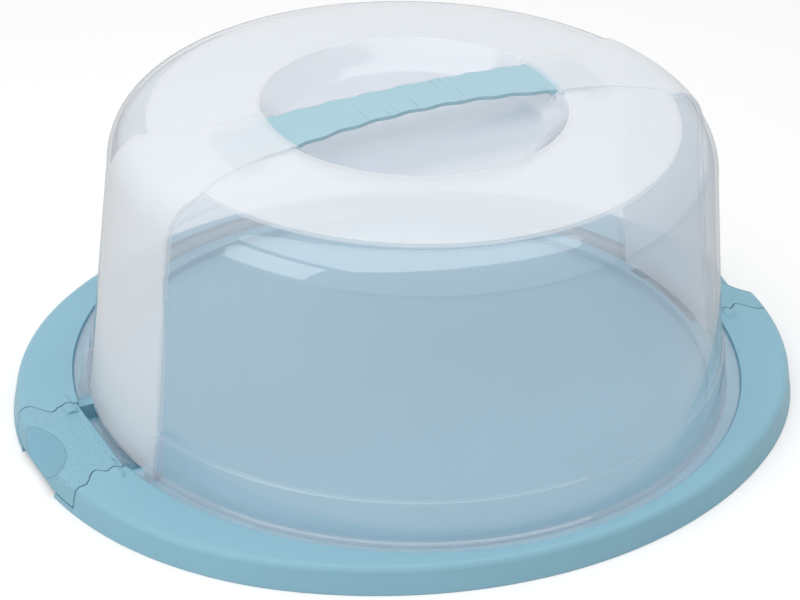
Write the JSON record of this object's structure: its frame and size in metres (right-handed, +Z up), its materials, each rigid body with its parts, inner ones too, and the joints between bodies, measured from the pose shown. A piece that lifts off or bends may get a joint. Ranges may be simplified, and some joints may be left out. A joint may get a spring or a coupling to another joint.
{
  "type": "cake carrier",
  "caption": "Oval tray with a round translucent lid that lifts off, a strap handle over a dished top, and a hinged latch at each end.",
  "frame": {"origin": "centre of the tray, on the surface that it stands on", "axes": "+Z up; X runs along the strap from the left latch to the right latch, +X towards the right one; Y across"},
  "size_m": [0.3554, 0.3178, 0.1428],
  "materials": {
    "tray_plastic": "satin moulded plastic, light blue",
    "lid_plastic": "translucent moulded plastic, clear and glossy with frosted bands and top",
    "strap_plastic": "soft satin plastic, light blue",
    "latch_plastic": "moulded plastic with a fine grain, light blue, smooth in the thumb scoop"
  },
  "bodies": {
    "base": {"tray": "tray_plastic"},
    "cover": {"lid": "lid_plastic", "handle_strap": "strap_plastic"},
    "left_latch": {"latch_left": "latch_plastic"},
    "right_latch": {"latch_right": "latch_plastic"}
  },
  "joints": [
    {"name": "lid_lift", "type": "slide", "parent": "base", "child": "cover", "axis": [0, 0, 1], "range_m": [0, 0.16]},
    {"name": "latch_left_hinge", "type": "hinge", "parent": "base", "child": "left_latch", "pos_m": [-0.1532, 0, 0.0098], "axis": [0, 1, 0], "range_deg": [0, 90]},
    {"name": "latch_right_hinge", "type": "hinge", "parent": "base", "child": "right_latch", "pos_m": [0.1532, 0, 0.0098], "axis": [0, -1, 0], "range_deg": [0, 90]}
  ]
}
